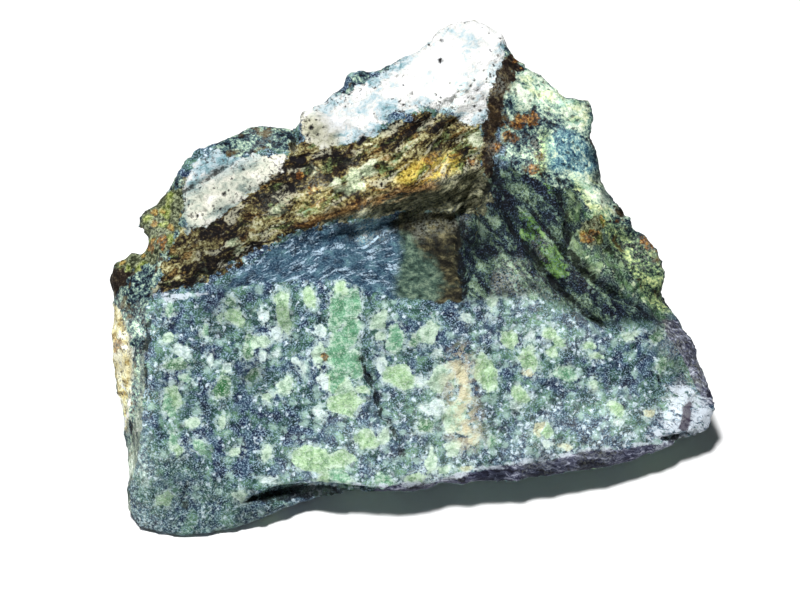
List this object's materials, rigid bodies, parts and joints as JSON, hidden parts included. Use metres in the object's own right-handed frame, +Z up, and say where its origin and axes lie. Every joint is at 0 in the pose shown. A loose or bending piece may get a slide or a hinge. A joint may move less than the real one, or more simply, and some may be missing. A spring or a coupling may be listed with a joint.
{
  "type": "raw jade boulder",
  "caption": "Rough broken block of mottled green jade with a flat front break, a shelf-like hollow and a pale, iron-stained weathered rind on top.",
  "frame": {"origin": "middle of the bounding box, at the level of the surface that the stone rests on", "axes": "+Z up; +X along the stone, towards the low pointed end; -Y towards the flat broken face"},
  "size_m": [0.1512, 0.1102, 0.0813],
  "materials": {
    "raw_jade": "mottled blue-green and yellow-green rough stone with a cream, ochre and brown weathered rind"
  },
  "bodies": {
    "root": {"jade_boulder": "raw_jade"}
  },
  "joints": []
}
